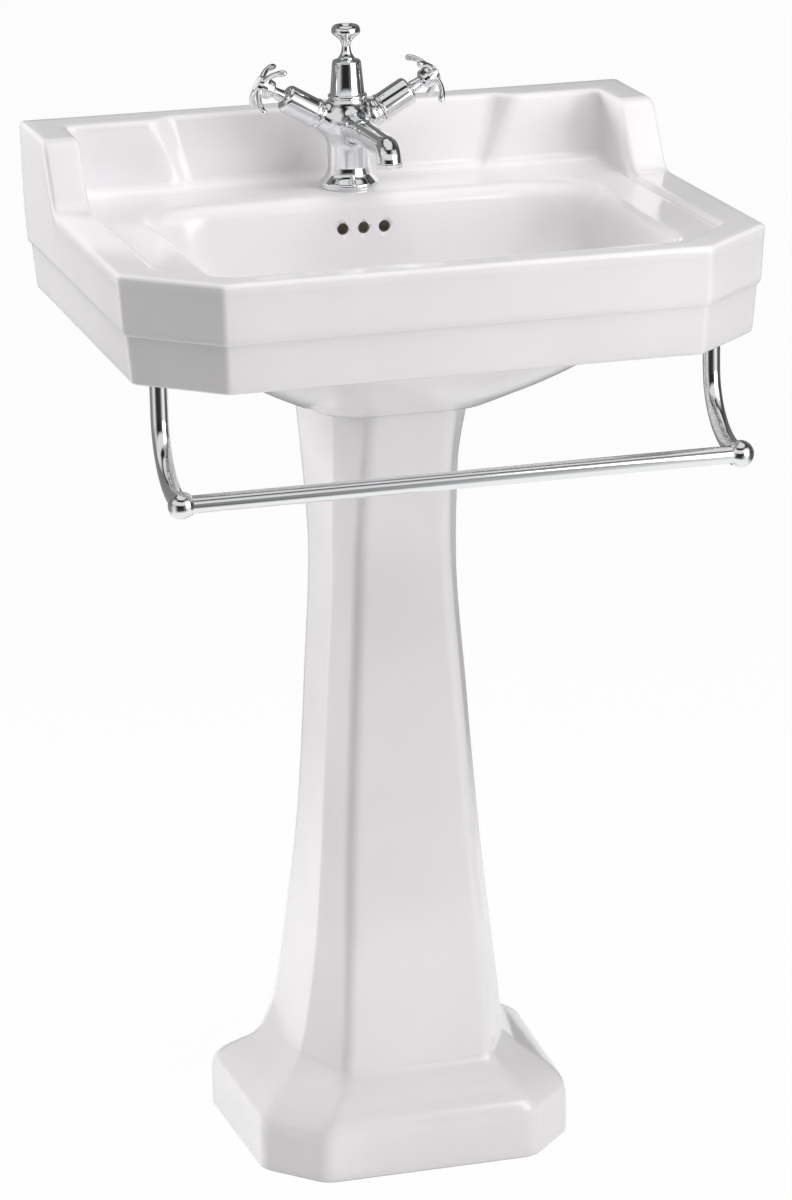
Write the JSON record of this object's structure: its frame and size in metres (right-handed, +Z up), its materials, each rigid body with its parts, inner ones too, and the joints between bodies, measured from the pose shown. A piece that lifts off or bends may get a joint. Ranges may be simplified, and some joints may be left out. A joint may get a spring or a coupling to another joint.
{
  "type": "pedestal basin",
  "caption": "Ceramic washbasin on a flared column, with a one-hole mixer tap, cross-head handles, a pop-up waste worked by a lift knob, and a towel rail below the front edge.",
  "frame": {"origin": "on the floor, under the middle of the basin's width and depth", "axes": "+X to the right as one stands at the basin, +Y towards the wall, +Z up"},
  "size_m": [0.56, 0.4698, 1.011],
  "materials": {
    "china": "white glaze, fired smooth, duller on the ground foot",
    "cap_ceramic": "white enamel button",
    "chrome": "polished plate on brass",
    "brass": "turned, unplated",
    "steel": "bright zinc",
    "rubber": "moulded, matte",
    "plastic": "moulded, matte white"
  },
  "bodies": {
    "fixed": {"basin": "china", "pedestal": "china", "tap_body": "chrome", "aerator_sleeve": "chrome", "hot_shroud": "chrome", "cold_shroud": "chrome", "rod_tower": "chrome", "waste_flange": "chrome", "waste_tee": "chrome", "pivot_nut": "chrome", "towel_rail": "chrome", "left_rail_bracket": "chrome", "right_rail_bracket": "chrome", "left_ball_end": "chrome", "right_ball_end": "chrome", "hot_valve": "brass", "cold_valve": "brass", "tap_fixing_stud": "brass", "tap_fixing_nut": "brass", "waste_backnut": "brass", "tap_clamp_plate": "steel", "rail_grub_screws": "steel", "bracket_washers": "steel", "left_bracket_nut": "steel", "right_bracket_nut": "steel", "tap_base_seal": "rubber", "tap_rubber_washer": "rubber", "flange_seal": "rubber", "tapered_washer": "rubber", "tee_seal": "rubber", "bracket_pads": "rubber", "aerator_insert": "plastic", "ball_seat": "plastic", "hot_packing": "plastic", "cold_packing": "plastic"},
    "hot_control": {"hot_spindle": "brass", "hot_handle": "chrome", "hot_handle_screw": "brass", "hot_cap": "cap_ceramic"},
    "cold_control": {"cold_spindle": "brass", "cold_handle": "chrome", "cold_handle_screw": "brass", "cold_cap": "cap_ceramic"},
    "lift": {"lift_knob": "chrome", "lift_rod": "chrome", "clevis_strap": "steel", "strap_screw": "steel"},
    "lever": {"ball_rod": "steel", "rod_spring_clip": "steel"},
    "plug": {"waste_plug": "chrome", "plug_seal": "rubber"}
  },
  "joints": [
    {"name": "hot_turn", "type": "hinge", "parent": "fixed", "child": "hot_control", "pos_m": [0, 0.147, 0.9165], "axis": [-0.866, 0, 0.5], "range_deg": [0, 90]},
    {"name": "cold_turn", "type": "hinge", "parent": "fixed", "child": "cold_control", "pos_m": [0, 0.147, 0.9165], "axis": [-0.866, 0, -0.5], "range_deg": [0, 90]},
    {"name": "lift_slide", "type": "slide", "parent": "fixed", "child": "lift", "axis": [0, 0, 1], "range_m": [0, 0.03]},
    {"name": "lever_turn", "type": "hinge", "parent": "fixed", "child": "lever", "pos_m": [0, 0.0515, 0.655], "axis": [1, 0, 0], "range_deg": [0, 17.02]},
    {"name": "plug_slide", "type": "slide", "parent": "fixed", "child": "plug", "axis": [0, 0, 1], "range_m": [-0.00794, 0]}
  ],
  "couplings": [
    {"joint": "lever_turn", "follows": "lift_slide", "rad_per_m": 9.887},
    {"joint": "plug_slide", "follows": "lift_slide", "ratio": -0.26394}
  ]
}
